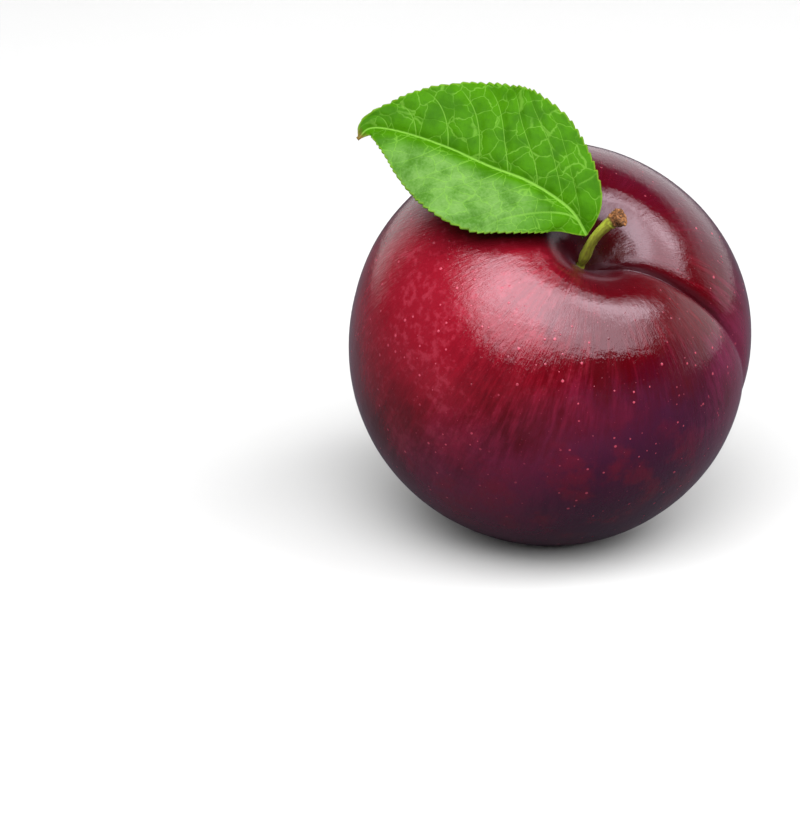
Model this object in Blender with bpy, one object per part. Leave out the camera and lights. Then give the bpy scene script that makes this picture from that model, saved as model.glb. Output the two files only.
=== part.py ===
"""A ripe plum with its stalk and one leaf, at rest on a small flat spot.

Metres, +Z up. The origin is the middle of the flat spot that the fruit rests on. The stalk end
leans towards -Y, and the leaf reaches out towards -X. The fruit's own axis runs from its centre
through the stalk hollow, and turns round it are counted from the suture, the groove that runs
from the stalk hollow to the blossom end.
"""

import math
from bisect import bisect_left

import bmesh
import bpy
from mathutils import Matrix, Vector

MM = 0.001
WELD = 0.01 * MM

# Fruit: its size, and how it lies.
FRUIT_RADIUS = 29.0 * MM
HEIGHT_SHARE = 0.95
BODY_POWER = 2.15
LEAN = math.radians(37.0)
LEAN_TOWARDS = math.radians(-70.0)
SUTURE_TURN = math.radians(61.5)
CENTRE = (-0.8 * MM, 1.1 * MM, 28.0 * MM)

# Fruit: the stalk hollow, the suture and the blossom end, as shares of the radius.
HOLLOW_DEPTH = 0.37
HOLLOW_SPREAD = 0.155
HOLLOW_POWER = 1.2
HOLLOW_FLOOR = 0.05
CREASE_DEPTH = 0.040
CREASE_WIDTH = 0.050
VALLEY_DEPTH = 0.040
VALLEY_WIDTH = 0.26
NOTCH_DEPTH = 0.05
NOTCH_REACH = 0.55
NOTCH_WIDTH = 0.16
SUTURE_LEAST = 0.3
SUTURE_SIDE = (-0.05, 0.20)
SUTURE_FADES = (1.7, 0.5)
SUTURE_ENDS = (math.pi, 2.3)
BLOSSOM_DEPTH = 0.025
BLOSSOM_SPREAD = 0.16

# Fruit: how its skin is divided.
TURN_STEPS = 60
TURN_CROWDING = 0.6
POLAR_STEPS = 42
POLAR_CROWDING = 0.55

# Stalk: the line through its middle, from just above the hollow's floor, and its radius there.
STALK_SEAT = 1.1 * MM
STALK_LINE = (
    (0.00, 0.00, 0.00),
    (0.50, -1.50, 1.70),
    (1.20, -3.40, 4.00),
    (2.30, -5.10, 6.20),
    (3.95, -6.50, 8.20),
    (5.05, -7.00, 8.95),
)
STALK_RADII = (0.45, 0.74, 0.64, 0.64, 0.82, 1.05)
STALK_STEPS = 22
STALK_SIDES = 16

# Leaf: the line of its midrib, and the blade to each side of it.
MIDRIB_LINE = (
    (3.9, -14.6, 49.4),
    (1.4, -13.5, 52.8),
    (-3.9, -11.9, 55.9),
    (-9.6, -9.8, 57.5),
    (-15.6, -7.3, 59.4),
    (-21.8, -5.2, 60.8),
    (-26.0, -4.5, 61.1),
    (-27.9, -5.3, 59.7),
)
LEAF_HALF_WIDTH = 11.6 * MM
LEAF_STALK_HALF_WIDTH = 0.45 * MM
LOPSIDED = 0.04
WIDEST_SHIFT = 0.90
OUTLINE_POWER = 0.9
TIP_NARROWS = 0.35
TIP_POWER = 6
LEAF_FACES = math.radians(44.0)
FOLD = math.radians(18.0)
FOLD_EASES = math.radians(9.0)
BLADE_THICKNESS = 0.40 * MM
EDGE_THICKNESS = 0.25 * MM
RIB_DEPTH = 0.45 * MM
RIB_TAPER = 0.6
RIB_HALF_WIDTH = 0.5 * MM
LEAF_STEPS = 34
BLADE_STEPS = 6
BLADE_CROWDING = 1.4
FINE_STEPS = 2000


def smooth_step(low, high, x):
    """0 below low, 1 above high, and a smooth rise between them."""
    share = min(1.0, max(0.0, (x - low) / (high - low)))
    return share * share * (3 - 2 * share)


def along_line(points, share):
    """The place on a smooth line through the points, at a share of the way along them."""
    place = share * (len(points) - 1)
    start = min(int(place), len(points) - 2)
    left = place - start
    before = points[start] * 2 - points[start + 1] if start == 0 else points[start - 1]
    here = points[start]
    there = points[start + 1]
    beyond = there * 2 - here if start + 2 == len(points) else points[start + 2]
    pull = there - before
    push = beyond - here
    bend = before * 2 - here * 5 + there * 4 - beyond
    twist = here * 3 - before - there * 3 + beyond
    return here + (pull * left + bend * left**2 + twist * left**3) / 2


def even_line(points, steps):
    """Places at even distances along the smooth line through the points."""
    fine = [along_line(points, step / FINE_STEPS) for step in range(FINE_STEPS + 1)]
    gone = [0.0]
    for here, there in zip(fine, fine[1:]):
        gone.append(gone[-1] + (there - here).length)
    shares = (step / steps for step in range(steps + 1))
    return [fine[min(bisect_left(gone, gone[-1] * share), FINE_STEPS)] for share in shares]


def in_metres(points):
    return [Vector(point) * MM for point in points]


def skin_radius(polar, turn):
    """The skin's distance from the fruit's centre at an angle from the axis and a turn round it."""
    out = math.sin(polar)
    up = math.cos(polar)
    body = (out**BODY_POWER + abs(up / HEIGHT_SHARE) ** BODY_POWER) ** (-1 / BODY_POWER)

    from_stalk = math.hypot(polar, HOLLOW_FLOOR) / HOLLOW_SPREAD
    hollow = HOLLOW_DEPTH * math.exp(-(from_stalk**HOLLOW_POWER))

    across = out * math.sin(turn)
    along = out * math.cos(turn)
    crease = CREASE_DEPTH * math.exp(-abs(across) / CREASE_WIDTH)
    valley = VALLEY_DEPTH * math.exp(-((across / VALLEY_WIDTH) ** 2))
    notch = NOTCH_DEPTH * math.exp(-((polar / NOTCH_REACH) ** 2) - (across / NOTCH_WIDTH) ** 2)
    on_suture = smooth_step(*SUTURE_SIDE, along) * smooth_step(*SUTURE_ENDS, polar)
    on_suture *= SUTURE_LEAST + (1 - SUTURE_LEAST) * smooth_step(*SUTURE_FADES, polar)

    blossom = BLOSSOM_DEPTH * math.exp(-(((math.pi - polar) / BLOSSOM_SPREAD) ** 2))
    return FRUIT_RADIUS * (body - hollow - on_suture * (crease + valley + notch) - blossom)


def skin_point(polar, turn):
    """A point of the skin in the fruit's own axes: +Z to the stalk, +X to the suture."""
    out = Vector((math.sin(polar) * math.cos(turn), math.sin(polar) * math.sin(turn), math.cos(polar)))
    return out * skin_radius(polar, turn)


def fruit_pose():
    """The matrix from the fruit's own axes to its place at rest."""
    return (
        Matrix.Translation(CENTRE)
        @ Matrix.Rotation(LEAN_TOWARDS, 4, "Z")
        @ Matrix.Rotation(LEAN, 4, "Y")
        @ Matrix.Rotation(SUTURE_TURN, 4, "Z")
    )


def suture_turns():
    """Turns round the axis, closest together at the suture, where the skin bends most."""
    for step in range(TURN_STEPS):
        even = math.tau * step / TURN_STEPS
        yield even - TURN_CROWDING * math.sin(even)


def polar_angles():
    """Angles from the axis between the two ends, closest together in the stalk hollow."""
    for step in range(1, POLAR_STEPS):
        share = step / POLAR_STEPS
        yield math.pi * ((1 - POLAR_CROWDING) * share + POLAR_CROWDING * share**2)


def new_object(name, bm, colour, roughness):
    """Turns a bmesh into a smooth named object with a material of its own."""
    bmesh.ops.recalc_face_normals(bm, faces=bm.faces)
    mesh = bpy.data.meshes.new(name)
    bm.to_mesh(mesh)
    bm.free()
    mesh.shade_smooth()
    material = bpy.data.materials.new(name)
    material.use_nodes = True
    shader = material.node_tree.nodes["Principled BSDF"]
    shader.inputs["Base Color"].default_value = (*colour, 1.0)
    shader.inputs["Roughness"].default_value = roughness
    mesh.materials.append(material)
    made = bpy.data.objects.new(name, mesh)
    bpy.context.scene.collection.objects.link(made)
    return made


def join_rings(bm, rings):
    """Faces between neighbouring rings of the same length, and a cap on each end."""
    sides = len(rings[0])
    for lower, upper in zip(rings, rings[1:]):
        for side in range(sides):
            after = (side + 1) % sides
            bm.faces.new((lower[side], lower[after], upper[after], upper[side]))
    bm.faces.new(rings[0])
    bm.faces.new(rings[-1])


def make_fruit():
    """The fruit: skin and flesh as one solid, cut flat where it rests."""
    bm = bmesh.new()
    pose = fruit_pose()
    stalk_end = bm.verts.new(pose @ skin_point(0.0, 0.0))
    rings = [
        [bm.verts.new(pose @ skin_point(polar, turn)) for turn in suture_turns()]
        for polar in polar_angles()
    ]
    blossom_end = bm.verts.new(pose @ skin_point(math.pi, 0.0))
    for step in range(TURN_STEPS):
        after = (step + 1) % TURN_STEPS
        bm.faces.new((stalk_end, rings[0][step], rings[0][after]))
        for upper, lower in zip(rings, rings[1:]):
            bm.faces.new((upper[step], lower[step], lower[after], upper[after]))
        bm.faces.new((rings[-1][step], blossom_end, rings[-1][after]))
    everything = bm.verts[:] + bm.edges[:] + bm.faces[:]
    cut = bmesh.ops.bisect_plane(
        bm, geom=everything, dist=WELD, plane_co=(0, 0, 0), plane_no=(0, 0, -1), clear_outer=True
    )
    rim = [part for part in cut["geom_cut"] if isinstance(part, bmesh.types.BMEdge)]
    for corner in {corner for edge in rim for corner in edge.verts}:
        corner.co.z = 0
    bmesh.ops.contextual_create(bm, geom=rim)
    return new_object("fruit", bm, (0.17, 0.012, 0.03), 0.3)


def make_stalk():
    """The stalk: it stands in the hollow, bends to +X and ends in a flared scar."""
    bm = bmesh.new()
    floor = fruit_pose() @ skin_point(0.0, 0.0)
    axis = fruit_pose().to_3x3() @ Vector((0, 0, 1))
    line = [floor + axis * STALK_SEAT + point for point in in_metres(STALK_LINE)]
    radii = in_metres((radius, 0, 0) for radius in STALK_RADII)
    rings = []
    for step in range(STALK_STEPS + 1):
        share = step / STALK_STEPS
        nearby = along_line(line, min(1.0, share + 0.01)) - along_line(line, max(0.0, share - 0.01))
        turned = nearby.to_track_quat("Z", "X").to_matrix()
        radius = along_line(radii, share).x
        middle = along_line(line, share)
        angles = [math.tau * side / STALK_SIDES for side in range(STALK_SIDES)]
        rings.append(
            [
                bm.verts.new(middle + turned @ Vector((math.cos(a), math.sin(a), 0)) * radius)
                for a in angles
            ]
        )
    join_rings(bm, rings)
    return new_object("stalk", bm, (0.30, 0.33, 0.06), 0.55)


def half_width(share):
    """The blade's width to one side of the midrib, at a share of the way from stalk to tip."""
    swell = max(0.0, math.sin(math.pi * share**WIDEST_SHIFT)) ** OUTLINE_POWER
    return LEAF_HALF_WIDTH * swell * (1 - TIP_NARROWS * share**TIP_POWER)


def make_leaf():
    """The leaf: a thin blade folded along its midrib, on a short stalk of its own."""
    bm = bmesh.new()
    line = even_line(in_metres(MIDRIB_LINE), LEAF_STEPS)
    faces = Vector((0, -math.cos(LEAF_FACES), math.sin(LEAF_FACES)))
    rings = []
    for step, middle in enumerate(line):
        share = step / LEAF_STEPS
        ahead = line[min(step + 1, LEAF_STEPS)] - line[max(step - 1, 0)]
        side = ahead.cross(faces).normalized()
        rise = side.cross(ahead).normalized()
        width = max(half_width(share), LEAF_STALK_HALF_WIDTH)
        top = []
        underside = []
        for place in range(-BLADE_STEPS, BLADE_STEPS + 1):
            out = place / BLADE_STEPS
            out = math.copysign(abs(out) ** BLADE_CROWDING, out)
            slope = FOLD - FOLD_EASES * abs(out)
            reach = width * (out + LOPSIDED * abs(out))
            point = middle + side * (reach * math.cos(slope))
            point += rise * (abs(reach) * math.sin(slope))
            half = (BLADE_THICKNESS + (EDGE_THICKNESS - BLADE_THICKNESS) * abs(out)) / 2
            rib = RIB_DEPTH * (1 - RIB_TAPER * share) * math.exp(-((reach / RIB_HALF_WIDTH) ** 2))
            top.append(point + rise * half)
            underside.append(point - rise * (half + rib))
        rings.append([bm.verts.new(point) for point in top + underside[::-1]])
    join_rings(bm, rings)
    return new_object("leaf", bm, (0.09, 0.30, 0.02), 0.45)


def main():
    for old in list(bpy.data.objects):
        bpy.data.objects.remove(old)
    make_fruit()
    make_stalk()
    make_leaf()


main()
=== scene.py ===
"""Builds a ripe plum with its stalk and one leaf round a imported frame, on a pale studio floor.

Metres, +Z up. The fruit's own axis runs from its centre through the stalk hollow. Polar angles are
counted from that axis, and turns round it from the suture, the groove from the stalk hollow to
the blossom end.
"""

import math

import bpy
import numpy as np
from bpy.props import FloatProperty, FloatVectorProperty, PointerProperty
from mathutils import Matrix, Vector


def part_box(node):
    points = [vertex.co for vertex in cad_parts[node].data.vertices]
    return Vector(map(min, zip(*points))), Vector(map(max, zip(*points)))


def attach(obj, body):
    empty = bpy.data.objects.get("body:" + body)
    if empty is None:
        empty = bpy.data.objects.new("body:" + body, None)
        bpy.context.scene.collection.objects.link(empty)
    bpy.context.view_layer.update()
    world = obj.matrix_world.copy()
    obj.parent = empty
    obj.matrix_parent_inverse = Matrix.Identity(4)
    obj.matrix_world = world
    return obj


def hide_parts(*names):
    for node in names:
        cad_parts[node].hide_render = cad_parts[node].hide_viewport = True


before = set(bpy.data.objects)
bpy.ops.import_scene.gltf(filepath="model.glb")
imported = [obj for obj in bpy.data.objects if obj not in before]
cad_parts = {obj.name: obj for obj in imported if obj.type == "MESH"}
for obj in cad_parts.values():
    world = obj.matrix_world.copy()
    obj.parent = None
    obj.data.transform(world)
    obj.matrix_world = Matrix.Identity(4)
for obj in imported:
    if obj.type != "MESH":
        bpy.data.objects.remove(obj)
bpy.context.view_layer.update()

bl_info = {
    "name": "Ripe Plum",
    "version": (1, 0, 0),
    "blender": (4, 5, 0),
    "location": "3D View > Sidebar > Plum",
    "description": "Builds a ripe plum with its stalk and one leaf",
    "category": "Object",
}

MM = 0.001
# Wide enough for the stalk, whose foot reaches into the hollow past its node's box.
FIT_TOLERANCE = 1.5 * MM
FINE_PLACES = 4001

# Where the fruit lies: its centre, and its own axes turned about Z, then Y, then Z again.
CENTRE = np.array((-0.8, 1.1, 28.0)) * MM
LEAN_TOWARDS = math.radians(-70.0)
LEAN = math.radians(37.0)
SUTURE_TURN = math.radians(61.5)
POSE = (
    Matrix.Rotation(LEAN_TOWARDS, 3, "Z")
    @ Matrix.Rotation(LEAN, 3, "Y")
    @ Matrix.Rotation(SUTURE_TURN, 3, "Z")
)
AXIS = np.array(POSE @ Vector((0, 0, 1)))
SUTURE_SIDE = np.array(POSE @ Vector((1, 0, 0)))

# The stalk's middle line, from just above the hollow's floor, and its radius along it.
STALK_LINE = np.array(
    (
        (0.00, 0.00, 0.00),
        (0.50, -1.50, 1.70),
        (1.20, -3.40, 4.00),
        (2.30, -5.10, 6.20),
        (3.95, -6.50, 8.20),
        (5.05, -7.00, 8.95),
    )
)
STALK_RADII = np.array((0.45, 0.74, 0.64, 0.64, 0.82, 1.05))
STALK_SEAT = 1.1 * MM

# The line of the leaf's midrib.
MIDRIB_LINE = np.array(
    (
        (3.9, -14.6, 49.4),
        (1.4, -13.5, 52.8),
        (-3.9, -11.9, 55.9),
        (-9.6, -9.8, 57.5),
        (-15.6, -7.3, 59.4),
        (-21.8, -5.2, 60.8),
        (-26.0, -4.5, 61.1),
        (-27.9, -5.3, 59.7),
    )
)


# ---------------------------------------------------------------- numbers and meshes


def smooth_step(low, high, x):
    """0 below low, 1 above high, and a smooth rise between them."""
    share = np.clip((x - low) / (high - low), 0, 1)
    return share * share * (3 - 2 * share)


def bell(x, width):
    return np.exp(-((x / width) ** 2))


def along_line(points, share):
    """The places on a smooth line through the points, at shares of the way along them."""
    points = np.asarray(points, float)
    ends = np.concatenate([[2 * points[0] - points[1]], points, [2 * points[-1] - points[-2]]])
    place = np.clip(np.asarray(share, float), 0, 1) * (len(points) - 1)
    start = np.minimum(place.astype(int), len(points) - 2)
    left = place - start
    if points.ndim > 1:
        left = left[..., None]
    before, here, there, beyond = (ends[start + step] for step in range(4))
    pull = there - before
    bend = 2 * before - 5 * here + 4 * there - beyond
    twist = 3 * here - before - 3 * there + beyond
    return here + (pull * left + bend * left**2 + twist * left**3) / 2


def even_line(points, count):
    """Places at even distances along the smooth line through the points."""
    fine = along_line(points, np.linspace(0, 1, FINE_PLACES))
    gone = np.concatenate([[0], np.cumsum(np.linalg.norm(np.diff(fine, axis=0), axis=1))])
    places = np.linspace(0, gone[-1], count)
    return np.stack([np.interp(places, gone, fine[:, axis]) for axis in range(3)], axis=-1)


def unit(vectors):
    return vectors / np.linalg.norm(vectors, axis=-1, keepdims=True)


class Cloud:
    """Smooth random values that fill space, from -1 to 1, the same on every run."""

    SIDE = 32

    def __init__(self, seed):
        self.values = np.random.default_rng(seed).uniform(-1, 1, (self.SIDE,) * 3)

    def at(self, points, size):
        """The values at points, whose lumps are about `size` apart."""
        place = np.asarray(points, float) / size
        low = np.floor(place).astype(int)
        share = place - low
        share = share * share * (3 - 2 * share)
        total = 0.0
        for corner in np.ndindex(2, 2, 2):
            index = (low + corner) % self.SIDE
            weight = np.prod(np.where(corner, share, 1 - share), axis=-1)
            total = total + weight * self.values[index[..., 0], index[..., 1], index[..., 2]]
        return total


def colour_property(name, description, default):
    return FloatVectorProperty(
        name=name, description=description, default=default, subtype="COLOR", size=3, min=0, max=1
    )


def mesh_piece(name, rows, fields):
    """A smooth mesh over rings of points. Each end ring is closed by one face.

    rows has the shape (rings, points in a ring, 3). fields are named values at the same points,
    kept on the mesh for its material.
    """
    rings, around = rows.shape[:2]
    index = np.arange(rings * around).reshape(rings, around)
    after = np.roll(index, -1, axis=1)
    quads = np.stack([index[:-1], after[:-1], after[1:], index[1:]], axis=-1).reshape(-1, 4)
    faces = quads.tolist()
    faces.append(index[0][::-1].tolist())
    faces.append(index[-1].tolist())
    mesh = bpy.data.meshes.new(name)
    mesh.from_pydata(rows.reshape(-1, 3).tolist(), [], faces)
    for field, values in fields.items():
        values = np.asarray(values, np.float32)
        if values.ndim == rows.ndim:
            layer = mesh.attributes.new(field, "FLOAT_VECTOR", "POINT")
            layer.data.foreach_set("vector", values.ravel())
        else:
            layer = mesh.attributes.new(field, "FLOAT", "POINT")
            layer.data.foreach_set("value", values.ravel())
    mesh.validate()
    mesh.update()
    mesh.shade_smooth()
    piece = bpy.data.objects.new(name, mesh)
    bpy.context.scene.collection.objects.link(piece)
    return piece


def settle(piece, node, material):
    """Puts the piece in the place of a frame node, once its box is shown to match the node's."""
    piece.data.materials.append(material)
    corners = np.array([corner.co for corner in piece.data.vertices])
    low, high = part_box(node)
    slip = max(np.abs(corners.min(0) - low).max(), np.abs(corners.max(0) - high).max())
    if slip > FIT_TOLERANCE:
        raise RuntimeError(f"{piece.name} is {slip / MM:.2f} mm off the {node} that it stands for")
    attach(piece, "root")
    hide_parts(node)


# ---------------------------------------------------------------- shader maths


class Wire:
    """A socket of a shader node. Sums written with it add the Math nodes that work them out."""

    def __init__(self, board, socket):
        self.board = board
        self.socket = socket

    def __add__(self, other):
        return self.board.math("ADD", self, other)

    def __radd__(self, other):
        return self.board.math("ADD", other, self)

    def __sub__(self, other):
        return self.board.math("SUBTRACT", self, other)

    def __rsub__(self, other):
        return self.board.math("SUBTRACT", other, self)

    def __mul__(self, other):
        return self.board.math("MULTIPLY", self, other)

    def __rmul__(self, other):
        return self.board.math("MULTIPLY", other, self)

    def __truediv__(self, other):
        return self.board.math("DIVIDE", self, other)

    def __rtruediv__(self, other):
        return self.board.math("DIVIDE", other, self)


class Board:
    """The node tree of one material or world, and the few ways that nodes are added to it."""

    def __init__(self, tree):
        self.tree = tree

    def add(self, kind, settings, sockets, output=0):
        """A node of one kind: its settings are set first, then the values or links of its sockets."""
        node = self.tree.nodes.new(kind)
        for name, value in settings.items():
            setattr(node, name, value)
        for name, value in sockets.items():
            if isinstance(value, Wire):
                self.tree.links.new(value.socket, node.inputs[name])
            else:
                node.inputs[name].default_value = value
        return Wire(self, node.outputs[output])

    def math(self, operation, first, second=0.0):
        return self.add("ShaderNodeMath", {"operation": operation}, {0: first, 1: second})

    def vector(self, operation, first, second=(0, 0, 0), output=0):
        return self.add("ShaderNodeVectorMath", {"operation": operation}, {0: first, 1: second}, output)

    def smooth(self, value, low, high):
        """0 where value is at low, 1 where it is at high, and a smooth change between."""
        kind = {"interpolation_type": "SMOOTHSTEP"}
        return self.add("ShaderNodeMapRange", kind, {"Value": value, "From Min": low, "From Max": high})

    def mix(self, below, above, share):
        """One colour over another, by a share."""
        colours = {0: share, 6: self.colour(below), 7: self.colour(above)}
        return self.add("ShaderNodeMix", {"data_type": "RGBA"}, colours, 2)

    @staticmethod
    def colour(value):
        return value if isinstance(value, Wire) else (*value[:3], 1.0)

    def field(self, name, output):
        return self.add("ShaderNodeAttribute", {"attribute_name": name}, {}, output)

    def part(self, vector, axis):
        """One number of a vector: 0, 1 and 2 stand for X, Y and Z."""
        return self.add("ShaderNodeSeparateXYZ", {}, {0: vector}, axis)

    def stretched(self, vector, length):
        """The vector with its third number scaled, so that a noise on it runs long that way."""
        return self.vector("MULTIPLY", vector, (1, 1, length))

    def noise(self, place, scale, detail, rough):
        sockets = {"Vector": place, "Scale": scale, "Detail": detail, "Roughness": rough}
        return self.add("ShaderNodeTexNoise", {}, sockets)

    def noise_colour(self, place, scale):
        return self.add("ShaderNodeTexNoise", {}, {"Vector": place, "Scale": scale, "Detail": 3.0}, 1)

    def place(self):
        return self.add("ShaderNodeTexCoord", {}, {}, 3)


def new_material(name):
    """A material, its board and its one Principled shader."""
    material = bpy.data.materials.new(name)
    material.use_nodes = True
    board = Board(material.node_tree)
    shader = material.node_tree.nodes["Principled BSDF"]
    return material, board, shader


def finish_surface(board, shader, colour, roughness, height, depth, **steady):
    """Joins what varies to the shader, and sets what is the same all over on its own sockets."""
    links = board.tree.links
    links.new(colour.socket, shader.inputs["Base Color"])
    links.new(roughness.socket, shader.inputs["Roughness"])
    bump = board.add("ShaderNodeBump", {}, {"Height": height, "Distance": depth, "Strength": 1.0})
    links.new(bump.socket, shader.inputs["Normal"])
    for name, value in steady.items():
        shader.inputs[name.replace("_", " ")].default_value = value


# ---------------------------------------------------------------- fruit


class PlumFruitSettings(bpy.types.PropertyGroup):
    """Sizes and colours of the fruit. Depths and widths without a unit are shares of the radius."""

    radius: FloatProperty(
        name="Radius", description="Half of the fruit's width", default=29.0 * MM, unit="LENGTH"
    )
    height_share: FloatProperty(
        name="Height", description="Height along the axis as a share of the width", default=0.95
    )
    body_power: FloatProperty(
        name="Fullness", description="2 is an ellipsoid, more is fuller", default=2.15
    )
    hollow_depth: FloatProperty(
        name="Hollow Depth", description="Depth of the stalk hollow", default=0.37
    )
    hollow_spread: FloatProperty(
        name="Hollow Spread",
        description="Angle from the axis over which the hollow fades",
        default=0.155,
        subtype="ANGLE",
    )
    crease_depth: FloatProperty(
        name="Crease Depth", description="Depth of the fine crease in the suture", default=0.040
    )
    valley_depth: FloatProperty(
        name="Valley Depth", description="Depth of the broad valley along the suture", default=0.040
    )
    lump_height: FloatProperty(
        name="Lumps", description="Height of the skin's slow unevenness", default=0.10 * MM, unit="LENGTH"
    )
    lenticel_spacing: FloatProperty(
        name="Lenticel Spacing",
        description="Size of the cells that hold one skin dot each",
        default=1.2 * MM,
        unit="LENGTH",
    )
    red: colour_property("Red", "Skin between the bright and the dark sides", (0.060, 0.0004, 0.0022))
    crimson: colour_property("Crimson", "Skin on the bright side", (0.21, 0.005, 0.014))
    # Purple: the skin's own colour on the low front, made brighter there as painted floor reflection; also
    # the colour of the painted rim reflection on the right.
    purple: colour_property("Purple", "Skin below the middle", (0.160, 0.014, 0.050))
    indigo: colour_property("Indigo", "Skin on the dark side", (0.036, 0.0040, 0.022))
    # Painted shade: a darker red laid in the stalk hollow and in the suture's crease.
    hollow_shade: colour_property("Hollow", "Skin in the stalk hollow", (0.030, 0.001, 0.003))
    bloom: colour_property("Bloom", "Waxy bloom on the skin", (0.13, 0.10, 0.15))
    lenticel: colour_property("Lenticels", "Small dots on the skin", (0.48, 0.06, 0.10))


FLOOR_WIDTH = 0.05
HOLLOW_POWER = 1.2
CREASE_WIDTH = 0.050
CREASE_ROUND = 0.005
FINE_CREASE_DEPTH = 0.030
FINE_CREASE_WIDTH = 0.018
VALLEY_WIDTH = 0.26
NOTCH_DEPTH = 0.05
NOTCH_REACH = 0.55
NOTCH_WIDTH = 0.16
SUTURE_LEAST = 0.3
BLOSSOM_DEPTH = 0.025
BLOSSOM_SPREAD = 0.16
SCAR_SPREAD = 0.028
SCAR_RISE = 0.008

# Where the suture fades out: off its own side of the fruit, at the blossom end, and how far from
# the stalk it and its fine crease grow shallow. All but the first are polar angles.
SUTURE_SIDE_FADE = (-0.05, 0.20)
SUTURE_END_FADE = (math.pi, 2.3)
SUTURE_DEPTH_FADE = (1.7, 0.5)
FINE_CREASE_FADE = (1.3, 0.7)

# The rings and the points in a ring, which crowd towards the stalk end and the suture.
TURN_STEPS = 336
POLAR_STEPS = 232
TURN_CROWDING = 0.6
POLAR_CROWDING = 0.55
POLE_GAP = 0.0004

# Sides of the fruit that differ in colour, as directions from its centre. The rim side is where a painted
# rim reflection lies.
BRIGHT_SIDE = (-0.62, -0.62, 0.48)
DARK_SIDE = (0.56, -0.58, -0.59)
LOW_FRONT = (0.05, -0.66, -0.75)
RIM_SHEEN_SIDE = (0.97, -0.18, -0.05)
BACK_SIDE = (0.45, 0.80, 0.40)

# How fine the skin's noises are: those along the grain first, then those per metre.
STREAK_SCALE = 26.0
FLECK_SCALE = 70.0
RIDGE_SCALE = 48.0
CREASE_SCALE = 100.0
CLOUD_SCALE = 90.0
SMUDGE_SCALE = 140.0
BLUSH_SCALE = 190.0
PEEL_SCALE = 700.0
MOTTLE_SCALE = 850.0
PORE_SCALE = 2600.0

# Speck cells to one lenticel cell, side by side, and the height that the skin's bumps stand for.
SPECKS_PER_LENTICEL = 1.9
SKIN_RELIEF = 0.10 * MM


def skin_radius(fruit, polar, turn):
    """The skin's distance from the fruit's centre, before its fine unevenness."""
    out = np.sin(polar)
    up = np.cos(polar)
    power = fruit.body_power
    body = (out**power + np.abs(up / fruit.height_share) ** power) ** (-1 / power)

    from_stalk = np.hypot(polar, FLOOR_WIDTH) / fruit.hollow_spread
    hollow = fruit.hollow_depth * np.exp(-(from_stalk**HOLLOW_POWER))

    across = np.hypot(out * np.sin(turn), CREASE_ROUND)
    along = out * np.cos(turn)
    crease = fruit.crease_depth * np.exp(-across / CREASE_WIDTH)
    fine = FINE_CREASE_DEPTH * np.exp(-across / FINE_CREASE_WIDTH)
    fine = fine * smooth_step(*FINE_CREASE_FADE, polar)
    valley = fruit.valley_depth * bell(across, VALLEY_WIDTH)
    notch = NOTCH_DEPTH * bell(polar, NOTCH_REACH) * bell(across, NOTCH_WIDTH)
    on_suture = smooth_step(*SUTURE_SIDE_FADE, along) * smooth_step(*SUTURE_END_FADE, polar)
    near_stalk = smooth_step(*SUTURE_DEPTH_FADE, polar)
    on_suture = on_suture * (SUTURE_LEAST + (1 - SUTURE_LEAST) * near_stalk)

    from_blossom = math.pi - polar
    blossom = BLOSSOM_DEPTH * bell(from_blossom, BLOSSOM_SPREAD)
    scar = SCAR_RISE * bell(from_blossom - SCAR_SPREAD, 0.5 * SCAR_SPREAD)
    suture = on_suture * (crease + fine + valley + notch)
    return fruit.radius * (body - hollow - suture - blossom + scar)


def from_axes(local):
    """Points in the fruit's own axes, moved to where it lies."""
    return local @ np.array(POSE).T + CENTRE


def skin_points(fruit, polar, turn):
    out = np.sin(polar)
    local = np.stack([out * np.cos(turn), out * np.sin(turn), np.cos(polar)], axis=-1)
    return from_axes(local * skin_radius(fruit, polar, turn)[..., None])


def build_fruit(fruit):
    even = math.tau * np.arange(TURN_STEPS) / TURN_STEPS
    turns = even - TURN_CROWDING * np.sin(even)
    share = np.linspace(0.0, 1.0, POLAR_STEPS + 1)
    share[0] = POLE_GAP
    share[-1] = 1 - POLE_GAP
    polars = math.pi * ((1 - POLAR_CROWDING) * share + POLAR_CROWDING * share**2)
    polar, turn = np.meshgrid(polars, turns, indexing="ij")
    points = skin_points(fruit, polar, turn)
    outward = unit(points - CENTRE)
    grain = np.stack([np.cos(turn), np.sin(turn), polar], axis=-1)

    # Slow lumps, and long shallow ripples that run from the stalk end to the blossom end.
    lumps = Cloud(3).at(outward, 0.55) + 0.35 * Cloud(4).at(outward, 0.24)
    ripples = Cloud(5).at(grain * (1, 1, 0.3), 0.16) * np.sin(polar)
    fine = Cloud(6).at(grain * (1, 1, 0.22), 0.055) * np.sin(polar)
    height = fruit.lump_height * (lumps + 0.30 * ripples + 0.09 * fine)
    points = points + outward * height[..., None]
    points[..., 2] = np.maximum(points[..., 2], 0.0)

    piece = mesh_piece("fruit_skin", points[:, ::-1], {"grain": grain[:, ::-1]})
    settle(piece, "fruit", skin_material(fruit))


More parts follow.
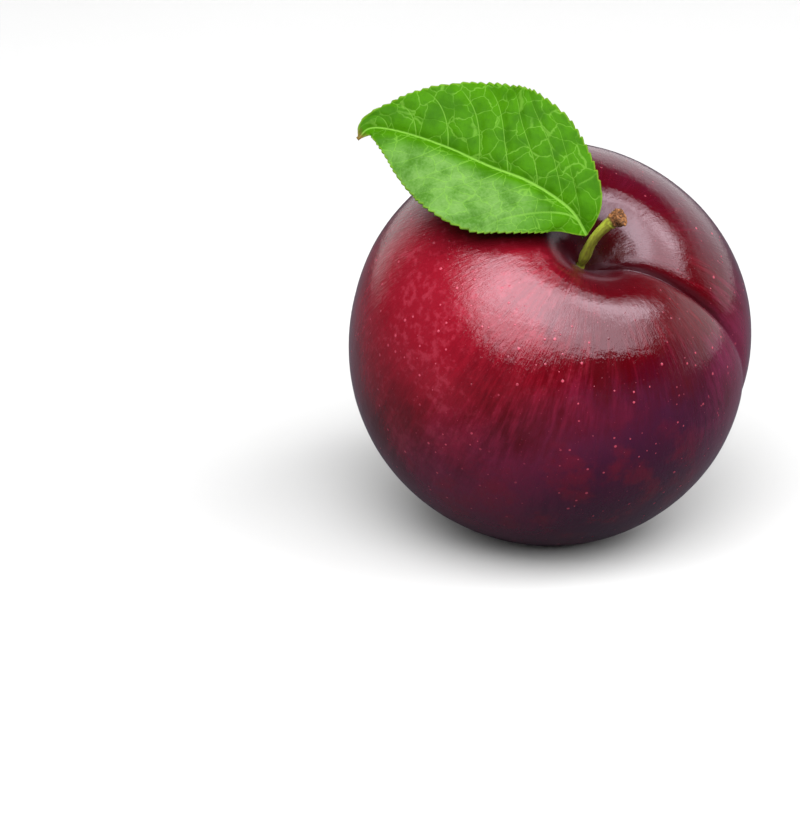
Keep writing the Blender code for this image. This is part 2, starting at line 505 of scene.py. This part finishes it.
def skin_material(fruit):
    """Plum skin: crimson to indigo, streaked, dotted with lenticels, under a smudged bloom of wax; with
    painted shade in the stalk hollow and crease, painted highlight in the bright side's mottles, a painted
    rim reflection on the right and painted floor reflection lifting the purple low front.
    """
    material, board, shader = new_material("plum_skin")
    place = board.place()
    outward = board.vector("NORMALIZE", board.vector("SUBTRACT", place, tuple(CENTRE)))
    grain = board.field("grain", 1)
    polar = board.part(grain, 2)

    def facing(direction):
        return board.vector("DOT_PRODUCT", outward, tuple(unit(np.array(direction))), 1)

    # Streaks run from the stalk to the blossom end, so they are long in the polar angle only.
    streaks = board.noise(board.stretched(grain, 0.16), STREAK_SCALE, 4.0, 0.6)
    flecks = board.noise(board.stretched(grain, 0.35), FLECK_SCALE, 2.0, 0.5)
    clouds = board.noise(place, CLOUD_SCALE, 3.0, 0.55)
    uneven = (streaks - 0.5) * 0.5 + (flecks - 0.5) * 0.22 + (clouds - 0.5) * 0.9

    bright = board.smooth(facing(BRIGHT_SIDE) + uneven * 0.60, 0.55, 1.05)
    dark = board.smooth(facing(DARK_SIDE) + uneven * 0.50, 0.52, 0.98)
    colour = board.mix(fruit.red, fruit.crimson, bright)
    streaked = board.smooth(streaks, 0.48, 0.72) * board.smooth(polar, 0.2, 0.8) * 0.32
    colour = board.mix(colour, fruit.crimson, streaked)
    # Purple on the low front: the skin's own purple, brightened as painted floor reflection.
    low = board.smooth(facing(LOW_FRONT) + uneven * 0.50, 0.50, 0.96)
    colour = board.mix(colour, fruit.purple, low * 0.85)
    colour = board.mix(colour, fruit.indigo, dark * 0.9)
    # Painted shade: the suture's fine crease is darkened with the hollow's shade colour.
    across = board.math("ABSOLUTE", board.math("SINE", polar) * board.part(grain, 1))
    crease_shade = board.smooth(across, 0.045, 0.004) * board.smooth(facing(SUTURE_SIDE), -0.1, 0.2)
    colour = board.mix(colour, fruit.hollow_shade, crease_shade * 0.8)
    # Pink mottles on the bright side, in the lenticels' colour: partly the skin's own blotches, partly
    # painted highlight where the key light's reflection breaks up.
    mottles_and_highlight = board.noise(place, MOTTLE_SCALE, 3.0, 0.6) + (clouds - 0.5) * 0.5
    mottles_and_highlight = board.smooth(mottles_and_highlight, 0.50, 0.72)
    colour = board.mix(colour, fruit.lenticel, mottles_and_highlight * bright * 0.22)
    blush = board.smooth(board.noise(place, BLUSH_SCALE, 4.0, 0.6), 0.46, 0.66) * low
    colour = board.mix(colour, fruit.crimson, blush * 0.40)
    # Painted reflection: a lighter purple rim on the right side, standing in for the white wall seen at
    # grazing angles.
    painted_rim_sheen = board.smooth(facing(RIM_SHEEN_SIDE) + uneven * 0.30, 0.82, 1.0)
    colour = board.mix(colour, fruit.purple, painted_rim_sheen * 0.7)
    behind = board.smooth(facing(BACK_SIDE) + uneven * 0.5, 0.15, 0.75)
    colour = board.mix(colour, fruit.indigo, behind * 0.6)
    # Painted shade: the stalk hollow darkens towards the stalk.
    hollow = board.smooth(polar + uneven * 0.1, 0.42, 0.12)
    colour = board.mix(colour, fruit.hollow_shade, hollow * 0.85)

    cells = {"Vector": place, "Scale": 1 / fruit.lenticel_spacing, "Randomness": 1.0}
    from_dot = board.add("ShaderNodeTexVoronoi", {}, cells)
    cell_colour = board.add("ShaderNodeTexVoronoi", {}, cells, 1)
    dot_kind = board.add("ShaderNodeSeparateColor", {}, {0: cell_colour})
    dot_radius = dot_kind * dot_kind * 0.17 + 0.05
    dots = board.smooth(from_dot / dot_radius, 1.0, 0.6) * board.smooth(polar, 0.25, 0.6)
    speck_scale = SPECKS_PER_LENTICEL / fruit.lenticel_spacing
    small_cells = {"Vector": place, "Scale": speck_scale, "Randomness": 1.0}
    from_speck = board.add("ShaderNodeTexVoronoi", {}, small_cells)
    specks = board.smooth(from_speck, 0.13, 0.05) * board.smooth(flecks, 0.42, 0.62)
    colour = board.mix(colour, fruit.lenticel, specks * 0.35)
    colour = board.mix(colour, fruit.lenticel, dots * board.smooth(clouds, 0.30, 0.62) * 0.9)

    smudge = board.noise(place, SMUDGE_SCALE, 4.0, 0.6)
    wax = board.smooth(smudge, 0.42, 0.80) * 0.022
    colour = board.mix(colour, fruit.bloom, wax)

    pores = board.noise(place, PORE_SCALE, 2.0, 0.5)
    ridges = board.noise(board.stretched(grain, 0.10), RIDGE_SCALE, 3.0, 0.55)
    peel = board.noise(place, PEEL_SCALE, 3.0, 0.6)
    creases = board.noise(board.stretched(grain, 0.30), CREASE_SCALE, 3.0, 0.6)
    lengthwise = ridges * 0.35 + creases * 0.50
    out_of_hollow = board.smooth(polar, 0.15, 0.9) * 0.8 + 0.2
    height = lengthwise * out_of_hollow + peel * 0.60 + pores * 0.07 + dots * 0.25
    roughness = 0.05 + board.smooth(smudge, 0.3, 0.8) * 0.06 + dots * 0.15
    finish_surface(
        board,
        shader,
        colour,
        roughness,
        height,
        SKIN_RELIEF,
        IOR=1.50,
        Sheen_Weight=0.07,
        Sheen_Roughness=0.35,
        Sheen_Tint=(0.9, 0.6, 0.8, 1.0),
        Specular_Tint=(1.0, 0.86, 0.98, 1.0),
    )
    return material


# ---------------------------------------------------------------- stalk


class PlumStalkSettings(bpy.types.PropertyGroup):
    """Finish of the stalk."""

    ridge_height: FloatProperty(
        name="Ridges", description="Height of the ridges along the stalk", default=0.05 * MM, unit="LENGTH"
    )
    # Green is the colour of the stalk's lit side and shade that of its shaded side; the shade colour, laid
    # in streaks, is painted shade.
    green: colour_property("Green", "Lit side of the stalk", (0.38, 0.44, 0.045))
    shade: colour_property("Shade", "Older, browner patches of the stalk", (0.20, 0.17, 0.030))
    cork: colour_property("Cork", "Corky end", (0.30, 0.120, 0.035))
    cork_dark: colour_property("Dark Cork", "Cracks in the corky end", (0.040, 0.013, 0.006))


STALK_STEPS = 170
STALK_SIDES = 84
END_RINGS = 12
END_GAP = 0.002
THICKER = 1.06
LEAST_RADIUS = 0.5 * MM
FOOT_STEPS = 10
FOOT_DEPTH = 1.6 * MM
STALK_RUN = 14
END_RUN = 15.0
CORK_STARTS = (0.79, 0.85)
CORK_SWELL = 0.14
CRUMB_HEIGHT = 0.15 * MM
KNOT_PLACE = 0.77
KNOT_HEIGHT = 0.10 * MM
STALK_RELIEF = 0.08 * MM


def swept_frames(middle):
    """For each place on a line: its direction, and two directions across it that turn smoothly."""
    ahead = unit(np.gradient(middle, axis=0))
    side = np.cross(ahead[0], (0.0, 0.0, 1.0))
    sides = []
    for direction in ahead:
        side = unit(side - direction * (side @ direction))
        sides.append(side)
    sides = np.array(sides)
    return ahead, sides, np.cross(ahead, sides)


def build_stalk(stalk, fruit):
    floor = skin_points(fruit, np.array([0.0]), np.array([0.0]))[0]
    foot = floor + AXIS * STALK_SEAT
    share = np.linspace(0, 1, STALK_STEPS)
    middle = foot + along_line(STALK_LINE, share) * MM
    radius = THICKER * along_line(STALK_RADII, share) * MM

    sunk = np.linspace(1, 0, FOOT_STEPS, endpoint=False)[:, None]
    middle = np.concatenate([foot - AXIS * FOOT_DEPTH * sunk, middle])
    radius = np.concatenate([(0.55 + 0.10 * sunk[:, 0]) * MM, np.maximum(radius, LEAST_RADIUS)])
    share = np.concatenate([np.zeros(len(sunk)), share])

    ahead, side, other = swept_frames(middle)
    angle = math.tau * np.arange(STALK_SIDES) / STALK_SIDES
    circle = np.stack([np.cos(angle), np.sin(angle)], axis=-1)
    run = np.empty((len(share), STALK_SIDES, 3))
    run[..., :2] = circle
    run[..., 2] = share[:, None] * STALK_RUN
    ragged = 0.05 * Cloud(11).at(run * (1, 1, 0), 0.5)
    cork = smooth_step(*CORK_STARTS, share[:, None] + ragged)
    ridges = Cloud(12).at(run * (1, 1, 0.12), 0.42) + 0.5 * Cloud(13).at(run * (1, 1, 0.5), 0.3)
    crumbs = Cloud(14).at(run, 0.30) + 0.7 * Cloud(15).at(run, 0.14)
    knots = bell(share[:, None] - KNOT_PLACE, 0.014) * smooth_step(0.2, 0.9, circle[None, :, 1])
    swell = CORK_SWELL * smooth_step(0.74, 0.86, share[:, None])
    swell = swell * smooth_step(1.25, 0.92, share[:, None])
    out = radius[:, None] * (1 + swell) + stalk.ridge_height * ridges * (1 - cork)
    out = out + CRUMB_HEIGHT * crumbs * cork + KNOT_HEIGHT * knots
    across = side[:, None] * circle[None, :, :1] + other[:, None] * circle[None, :, 1:]
    points = middle[:, None] + across * out[..., None]

    # The broken end: rings that close on the middle, dished and crumbly.
    closing = np.linspace(1, 0, END_RINGS + 1)[1:, None] + END_GAP
    end_height = np.full((END_RINGS, STALK_SIDES, 1), END_RUN)
    end_run = np.concatenate([circle[None] * closing[..., None], end_height], -1)
    crumbly = 0.16 * Cloud(16).at(end_run, 0.32) * (1 - closing**6)
    dish = (0.10 - 0.30 * (1 - closing) ** 1.5 + crumbly) * MM
    end = middle[-1] + across[-1] * (out[-1] * closing)[..., None] + ahead[-1] * dish[..., None]
    points = np.concatenate([points, end])
    run = np.concatenate([run, end_run])
    cork = np.concatenate([cork * np.ones((1, STALK_SIDES)), np.ones((END_RINGS, STALK_SIDES))])

    piece = mesh_piece("stalk_wood", points, {"run": run, "cork": cork})
    settle(piece, "stalk", stalk_material(stalk))


def stalk_material(stalk):
    """A satin yellow-green stalk, ridged along its length and streaked with painted shade, with a crumbly
    corky end.
    """
    material, board, shader = new_material("stalk_skin")
    run = board.field("run", 1)
    cork = board.field("cork", 2)
    streaks = board.noise(board.stretched(run, 0.25), 3.2, 4.0, 0.6)
    specks = board.noise(run, 9.0, 3.0, 0.6)
    # Painted shade: the stalk's shaded-side colour laid in random streaks along it.
    shaded_streaks = board.smooth(streaks, 0.42, 0.68)
    colour = board.mix(stalk.green, stalk.shade, shaded_streaks * 0.75)
    colour = board.mix(colour, stalk.cork, board.smooth(specks, 0.60, 0.72) * 0.5)
    cracks = board.smooth(board.noise(run, 6.5, 5.0, 0.75), 0.48, 0.58)
    corky = board.mix(stalk.cork, stalk.cork_dark, cracks)
    colour = board.mix(colour, corky, cork)
    height = streaks * 0.5 + specks * 0.3 + cork * cracks * -0.8
    roughness = 0.42 + cork * 0.4
    finish_surface(board, shader, colour, roughness, height, STALK_RELIEF, IOR=1.42)
    return material


# ---------------------------------------------------------------- leaf


class PlumLeafSettings(bpy.types.PropertyGroup):
    """Sizes and colours of the leaf."""

    thickness: FloatProperty(
        name="Thickness", description="Thickness of the blade", default=0.26 * MM, unit="LENGTH"
    )
    tooth_spacing: FloatProperty(
        name="Tooth Spacing",
        description="Distance between the margin's teeth",
        default=1.1 * MM,
        unit="LENGTH",
    )
    tooth_depth: FloatProperty(
        name="Tooth Depth", description="How far the teeth stand out", default=0.30 * MM, unit="LENGTH"
    )
    quilting: FloatProperty(
        name="Quilting",
        description="How far the blade swells between veins",
        default=0.16 * MM,
        unit="LENGTH",
    )
    green: colour_property("Green", "Blade", (0.040, 0.150, 0.0012))
    # Painted highlight: this paler green stands in for the glossy sheen on the blade's lower half.
    sheen_green: colour_property("Pale Green", "Waxy, paler patches", (0.135, 0.250, 0.070))
    deep_green: colour_property("Deep Green", "Darker patches of the blade", (0.026, 0.105, 0.0010))
    vein_green: colour_property("Veins", "Midrib and veins", (0.135, 0.30, 0.035))
    margin: colour_property("Margin", "Edge of the blade", (0.12, 0.22, 0.015))
    under: colour_property("Underside", "Lower face of the blade", (0.08, 0.15, 0.04))
    brown: colour_property("Dry Tip", "Dry brown tip", (0.13, 0.06, 0.02))


LEAF_FACES = math.radians(44.0)
FOLD = math.radians(18.0)
FOLD_EASES = math.radians(9.0)
LEAF_LENGTH = 37.6 * MM
LEAF_HALF_WIDTH = 11.6 * MM
WIDEST_SHIFT = 0.90
OUTLINE_POWER = 0.9
TIP_NARROWS = 0.35
TIP_POWER = 6
LOPSIDED = 0.04
LEAF_STEPS = 560
BLADE_STEPS = 44
UNDER_STEPS = 16
VEIN_STARTS = (0.05, 0.15, 0.26, 0.38, 0.50, 0.63, 0.76, 0.87)
VEIN_REACH = 0.34
VEIN_CURVE = 1.25
VEIN_GAP = 4.0 * MM
VEIN_OFFSET = 0.022
VEIN_ROUNDS = 12
LEAST_HALF_WIDTH = 0.25 * MM
TOOTH_RISES = 0.78
BLADE_CROWDING = 0.6
WAVE_HEIGHT = 0.45 * MM
RIB_GROOVE = 0.16 * MM
RIB_RIDGE = 0.5 * MM
NET_SCALE = 0.42
LEAF_RELIEF = 0.07 * MM


def half_widths(share):
    """The blade's width to one side of the midrib, from the stalk to the tip."""
    swell = np.maximum(0.0, np.sin(math.pi * share**WIDEST_SHIFT)) ** OUTLINE_POWER
    return LEAF_HALF_WIDTH * swell * (1 - TIP_NARROWS * share**TIP_POWER)


def vein_runs(share, out):
    """A count that rises smoothly towards the tip and is whole on every side vein."""
    away = np.abs(out) ** VEIN_CURVE
    root = share.copy()
    for _ in range(VEIN_ROUNDS):
        root = share - VEIN_REACH * np.maximum(1 - root, 0.02) ** 0.7 * away
    starts = np.array(VEIN_STARTS)
    below = np.interp(root, starts + VEIN_OFFSET, np.arange(len(starts)))
    above = np.interp(root, starts, np.arange(len(starts)))
    run = np.where(out < 0, below, above)
    before = np.minimum(root - starts[0], 0) / (starts[1] - starts[0])
    after = np.maximum(root - starts[-1], 0) / (starts[-1] - starts[-2])
    return run + np.clip(before, -0.5, 0) + np.clip(after, 0, 0.5)


def tooth_profile(run):
    """One tooth per unit of run: it rises slowly towards the leaf's tip, then drops back."""
    place = run % 1.0
    rise = (place / TOOTH_RISES) ** 0.85
    drop = np.cos((place - TOOTH_RISES) / (1 - TOOTH_RISES) * math.pi / 2) ** 0.8
    return np.where(place < TOOTH_RISES, rise, drop)


def build_leaf(leaf):
    share = np.linspace(0, 1, LEAF_STEPS)
    middle = even_line(MIDRIB_LINE * MM, LEAF_STEPS)
    ahead = unit(np.gradient(middle, axis=0))
    faces = np.array((0.0, -math.cos(LEAF_FACES), math.sin(LEAF_FACES)))
    side = unit(np.cross(ahead, faces))
    rise = unit(np.cross(side, ahead))

    width = np.maximum(half_widths(share), LEAST_HALF_WIDTH)
    length = np.linalg.norm(np.gradient(middle, axis=0), axis=1)
    edge_run = np.cumsum(np.hypot(np.gradient(width), length))
    tooth_room = smooth_step(0.06, 0.14, share) * smooth_step(1.0, 0.90, share)
    along = np.stack([share, share * 0, share * 0], -1)
    uneven = 0.45 * Cloud(31).at(along * 9, 1.0)
    teeth = tooth_profile(edge_run / leaf.tooth_spacing + uneven) - 0.5
    teeth = leaf.tooth_depth * tooth_room * teeth * (1 + 0.4 * Cloud(32).at(along * 23, 1.0))

    def surface(steps):
        """The blade's places, its upward normals, and what its relief and colours follow."""
        even = np.linspace(-1, 1, 2 * steps + 1)
        crowded = (1 - BLADE_CROWDING) * np.abs(even) + BLADE_CROWDING * np.abs(even) ** 1.3
        across = np.sign(even) * crowded
        shares, out = np.meshgrid(share, across, indexing="ij")
        away = np.abs(out)
        widths = width[:, None] * (1 + LOPSIDED * np.sign(out))
        reach = widths * away + teeth[:, None] * smooth_step(0.86, 1.0, away)
        slope = FOLD - FOLD_EASES * away
        wave = WAVE_HEIGHT * away**2 * np.sin(math.tau * (2.6 * shares + 0.15 * np.sign(out)))
        wave = wave * smooth_step(0.05, 0.25, shares) * smooth_step(1.0, 0.8, shares)
        points = middle[:, None] + side[:, None] * (np.sign(out) * reach * np.cos(slope))[..., None]
        points = points + rise[:, None] * (reach * np.sin(slope) + wave)[..., None]
        normal = unit(np.cross(np.gradient(points, axis=1), np.gradient(points, axis=0)))
        facing = (normal * rise[:, None]).sum(-1, keepdims=True)
        normal = np.where(facing < 0, -normal, normal)

        rib = away * widths
        run = vein_runs(shares, out)
        vein = np.abs(run - np.round(run)) * VEIN_GAP
        flat = np.stack([shares * LEAF_LENGTH, out * widths, 0 * out], axis=-1)
        room = smooth_step(0.0, 1.5 * MM, vein) * smooth_step(0.1 * MM, 2.2 * MM, rib)
        quilt = leaf.quilting * room * smooth_step(0, 1.2 * MM, widths)
        small = Cloud(33).at(flat, 1.1 * MM) + 0.6 * Cloud(34).at(flat, 0.55 * MM)
        relief = quilt + 0.035 * MM * small - RIB_GROOVE * bell(rib, 0.5 * MM)
        fields = {
            "blade": flat / MM,
            "run": run,
            "rib": rib / MM,
            "edge": (1 - away) * widths / MM,
        }
        return points, normal, relief, shares, away, rib, vein, fields

    points, normal, relief, _, _, _, _, fields = surface(BLADE_STEPS)
    top = points + normal * relief[..., None]
    points, normal, relief, shares, away, rib, vein, under_fields = surface(UNDER_STEPS)
    depth = leaf.thickness * (0.45 + 0.55 * smooth_step(1.0, 0.9, away))
    depth = depth + RIB_RIDGE * (1 - 0.7 * shares) * bell(rib, 0.4 * MM * (1 - 0.6 * shares))
    depth = depth + 0.07 * MM * bell(vein, 0.2 * MM) + 0.45 * MM * smooth_step(0.05, 0.0, shares)
    bottom = points + normal * (0.55 * relief - depth)[..., None]
    fields["under"] = np.zeros(top.shape[:2])
    under_fields["under"] = np.ones(bottom.shape[:2])
    both = {
        name: np.concatenate([fields[name], under_fields[name][:, ::-1]], axis=1) for name in fields
    }
    piece = mesh_piece("leaf_blade", np.concatenate([top, bottom[:, ::-1]], axis=1), both)
    settle(piece, "leaf", leaf_material(leaf))


def leaf_material(leaf):
    """A fresh leaf: pale veins over a mottled green blade, a painted sheen on its lower half, yellowish
    margin, dry brown tip.
    """
    material, board, shader = new_material("leaf_skin")
    blade = board.field("blade", 1)
    share = board.part(blade, 0) / (LEAF_LENGTH / MM)
    run = board.field("run", 2)
    vein = board.math("PINGPONG", run, 0.5) * (VEIN_GAP / MM)
    sway = board.vector("MULTIPLY", board.noise_colour(blade, 0.55), (1.6, 1.6, 0))
    swayed = board.vector("ADD", blade, sway)
    cells = {"Vector": swayed, "Scale": NET_SCALE, "Randomness": 0.9}
    net = board.add("ShaderNodeTexVoronoi", {"feature": "DISTANCE_TO_EDGE"}, cells) / NET_SCALE
    rib = board.field("rib", 2)
    edge = board.field("edge", 2)
    under = board.field("under", 2)

    patches = board.noise(blade, 0.28, 4.0, 0.55)
    grain = board.noise(blade, 2.6, 3.0, 0.6)
    colour = board.mix(leaf.deep_green, leaf.green, board.smooth(patches, 0.32, 0.62))
    colour = board.mix(colour, leaf.deep_green, board.smooth(grain, 0.50, 0.72) * 0.45)
    # Painted sheen: the paler green laid in patches over the lower half of the blade.
    lower = board.smooth(board.part(blade, 1), -0.6, -3.5)
    painted_sheen = lower * board.smooth(share, 0.10, 0.35) * board.smooth(share, 0.97, 0.70)
    painted_sheen = painted_sheen * board.smooth(patches + grain * 0.5, 0.35, 1.15) * 0.95
    colour = board.mix(colour, leaf.sheen_green, painted_sheen)

    fine = board.smooth(net, 0.085, 0.02) * board.smooth(patches, 0.30, 0.55) * 0.42
    side_vein = board.smooth(vein, 0.12, 0.02) * board.smooth(edge, 0.3, 3.0)
    # Side veins are fainter on the lower half, under the painted sheen.
    side_vein = side_vein * (0.55 - lower * 0.22)
    middle = board.smooth(rib + share * 0.12, 0.26, 0.10) * 0.85
    lines = board.math("MAXIMUM", board.math("MAXIMUM", fine, side_vein), middle)
    colour = board.mix(colour, leaf.vein_green, lines)
    colour = board.mix(colour, leaf.margin, board.smooth(edge, 0.38, 0.08) * 0.75)
    colour = board.mix(colour, leaf.under, under * 0.8)
    dry = board.smooth(share + (grain - 0.5) * 0.05, 0.955, 0.995)
    colour = board.mix(colour, leaf.brown, dry * 0.85)

    ripple = board.noise(blade, 5.0, 3.0, 0.6)
    height = ripple * 0.35 + board.smooth(net, 0.0, 0.25) * 0.35
    height = height + board.smooth(vein, 0.0, 0.3) * 0.4
    roughness = 0.42 + (patches - 0.5) * 0.2 + under * 0.2
    steady = {"IOR": 1.40, "Specular_IOR_Level": 0.04}
    finish_surface(board, shader, colour, roughness, height, LEAF_RELIEF, **steady)
    return material


# ---------------------------------------------------------------- stage


class PlumStageSettings(bpy.types.PropertyGroup):
    """The floor, the lights and the camera."""

    floor_colour: colour_property("Floor", "Colour of the floor", (0.52, 0.52, 0.52))
    floor_shade: colour_property("Floor Shade", "Floor as the plum reflects it", (0.06, 0.06, 0.07))
    key_power: FloatProperty(
        name="Key Light",
        description="Power of the large soft light above the front",
        default=125.0,
        unit="POWER",
    )
    fill_power: FloatProperty(
        name="Fill Light",
        description="Power of the soft light above the left",
        default=36.0,
        unit="POWER",
    )
    side_power: FloatProperty(
        name="Side Light",
        description="Power of the soft light above the right",
        default=13.0,
        unit="POWER",
    )
    camera_distance: FloatProperty(
        name="Camera Distance", description="From the fruit's centre", default=0.3303, unit="LENGTH"
    )
    camera_height: FloatProperty(
        name="Camera Angle",
        description="How far the camera looks down",
        default=math.radians(20.0),
        subtype="ANGLE",
    )


AIM = Vector((-22.2, -2.4, 18.5)) * MM
LENS_MM = 100.0
NEAREST = 0.01
FLOOR_SIZE = 3.0
FLOOR_CELLS = 8
FLOOR_PATCHES = (0.50, 0.50, 0.50)
ROOM_LEVEL = 0.03

# For each softbox: its turn and height in degrees, its distance, width and height in metres, and
# the setting that holds its power.
SOFTBOXES = {
    "key_softbox": (12, 53, 2.0, 4.2, 2.1, "key_power"),
    "fill_softbox": (-14, 62, 2.1, 1.9, 1.5, "fill_power"),
    "side_softbox": (82, 54, 2.0, 0.9, 1.0, "side_power"),
}


def direction(turn_degrees, height_degrees):
    """The unit vector at a turn from the front, counted towards the right, and at a height."""
    turn = math.radians(turn_degrees)
    height = math.radians(height_degrees)
    level = math.cos(height)
    return Vector((math.sin(turn) * level, -math.cos(turn) * level, math.sin(height)))


def add_softbox(name, towards, distance, width, height, power):
    light = bpy.data.lights.new(name, "AREA")
    light.shape = "RECTANGLE"
    light.size = width
    light.size_y = height
    light.energy = power
    box = bpy.data.objects.new(name, light)
    box.location = Vector(CENTRE) + towards * distance
    box.rotation_mode = "QUATERNION"
    box.rotation_quaternion = (-towards).to_track_quat("-Z", "Y")
    box.visible_camera = False
    bpy.context.scene.collection.objects.link(box)


def build_floor(stage):
    """One wide flat sheet, pale to the camera and darker to everything that it lights."""
    side = np.linspace(-0.5, 0.5, FLOOR_CELLS + 1) * FLOOR_SIZE
    x, y = np.meshgrid(side, side, indexing="ij")
    corners = np.stack([x, y, np.zeros_like(x)], axis=-1).reshape(-1, 3)
    index = np.arange(x.size).reshape(x.shape)
    cells = [index[:-1, :-1], index[1:, :-1], index[1:, 1:], index[:-1, 1:]]
    faces = np.stack(cells, axis=-1).reshape(-1, 4)
    mesh = bpy.data.meshes.new("floor")
    mesh.from_pydata(corners.tolist(), [], faces.tolist())
    floor = bpy.data.objects.new("floor", mesh)
    bpy.context.scene.collection.objects.link(floor)
    material, board, shader = new_material("floor_paper")
    tone = board.noise(board.place(), 3.0, 2.0, 0.5)
    colour = board.mix(stage.floor_colour, FLOOR_PATCHES, board.smooth(tone, 0.3, 0.7))
    seen = board.add("ShaderNodeLightPath", {}, {})
    colour = board.mix(stage.floor_shade, colour, seen)
    shader.inputs["Specular IOR Level"].default_value = 0.0
    board.tree.links.new(colour.socket, shader.inputs["Base Color"])
    shader.inputs["Roughness"].default_value = 1.0
    mesh.materials.append(material)


def build_world():
    """A dim room with a white wall low down behind; seen directly, the room is plain white."""
    world = bpy.data.worlds.new("studio")
    world.use_nodes = True
    board = Board(world.node_tree)
    background = world.node_tree.nodes["Background"]
    towards = board.add("ShaderNodeTexCoord", {}, {})
    back = board.part(towards, 1)
    up = board.part(towards, 2)
    right = board.part(towards, 0)
    wall = board.smooth(back + right * 0.35, 0.15, 0.45) * board.smooth(up, 0.62, 0.42)
    seen = board.add("ShaderNodeLightPath", {}, {})
    level = board.math("MAXIMUM", wall * (1 - ROOM_LEVEL) + ROOM_LEVEL, seen)
    board.tree.links.new(level.socket, background.inputs["Strength"])
    background.inputs["Color"].default_value = (1, 1, 1, 1)
    bpy.context.scene.world = world


def build_camera(stage):
    lens = bpy.data.cameras.new("camera")
    lens.lens = LENS_MM
    lens.clip_start = NEAREST
    camera = bpy.data.objects.new("camera", lens)
    spot = Vector(CENTRE) + direction(0, math.degrees(stage.camera_height)) * stage.camera_distance
    camera.location = spot
    camera.rotation_mode = "QUATERNION"
    camera.rotation_quaternion = (AIM - spot).to_track_quat("-Z", "Y")
    bpy.context.scene.collection.objects.link(camera)
    bpy.context.scene.camera = camera


def build_stage(stage):
    build_floor(stage)
    for name, (turn, up, distance, width, height, power) in SOFTBOXES.items():
        add_softbox(name, direction(turn, up), distance, width, height, getattr(stage, power))
    build_world()
    build_camera(stage)
    bpy.context.scene.view_settings.view_transform = "Standard"


# ---------------------------------------------------------------- operators and panel


class PLUM_OT_make_fruit(bpy.types.Operator):
    """Build the fruit's skin"""

    bl_idname = "plum.make_fruit"
    bl_label = "Make Fruit"

    def execute(self, context):
        build_fruit(context.scene.plum_fruit)
        return {"FINISHED"}


class PLUM_OT_make_stalk(bpy.types.Operator):
    """Build the stalk with its corky end"""

    bl_idname = "plum.make_stalk"
    bl_label = "Make Stalk"

    def execute(self, context):
        build_stalk(context.scene.plum_stalk, context.scene.plum_fruit)
        return {"FINISHED"}


class PLUM_OT_make_leaf(bpy.types.Operator):
    """Build the leaf with its veins and toothed margin"""

    bl_idname = "plum.make_leaf"
    bl_label = "Make Leaf"

    def execute(self, context):
        build_leaf(context.scene.plum_leaf)
        return {"FINISHED"}


class PLUM_OT_make_stage(bpy.types.Operator):
    """Build the floor, the lights and the camera"""

    bl_idname = "plum.make_stage"
    bl_label = "Make Stage"

    def execute(self, context):
        build_stage(context.scene.plum_stage)
        return {"FINISHED"}


SETTINGS = {
    "plum_fruit": PlumFruitSettings,
    "plum_stalk": PlumStalkSettings,
    "plum_leaf": PlumLeafSettings,
    "plum_stage": PlumStageSettings,
}
OPERATORS = (PLUM_OT_make_fruit, PLUM_OT_make_stalk, PLUM_OT_make_leaf, PLUM_OT_make_stage)


class PLUM_PT_panel(bpy.types.Panel):
    """The plum's settings and what builds each piece"""

    bl_idname = "PLUM_PT_panel"
    bl_label = "Plum"
    bl_space_type = "VIEW_3D"
    bl_region_type = "UI"
    bl_category = "Plum"

    def draw(self, context):
        for (name, group), operator in zip(SETTINGS.items(), OPERATORS):
            box = self.layout.box()
            for field in group.__annotations__:
                box.prop(getattr(context.scene, name), field)
            box.operator(operator.bl_idname)


def register():
    for kind in (*SETTINGS.values(), *OPERATORS, PLUM_PT_panel):
        bpy.utils.register_class(kind)
    for name, group in SETTINGS.items():
        setattr(bpy.types.Scene, name, PointerProperty(type=group))


def unregister():
    for name in SETTINGS:
        delattr(bpy.types.Scene, name)
    for kind in reversed((*SETTINGS.values(), *OPERATORS, PLUM_PT_panel)):
        bpy.utils.unregister_class(kind)


def main():
    register()
    bpy.ops.plum.make_fruit()
    bpy.ops.plum.make_stalk()
    bpy.ops.plum.make_leaf()
    bpy.ops.plum.make_stage()


if __name__ == "__main__":
    main()
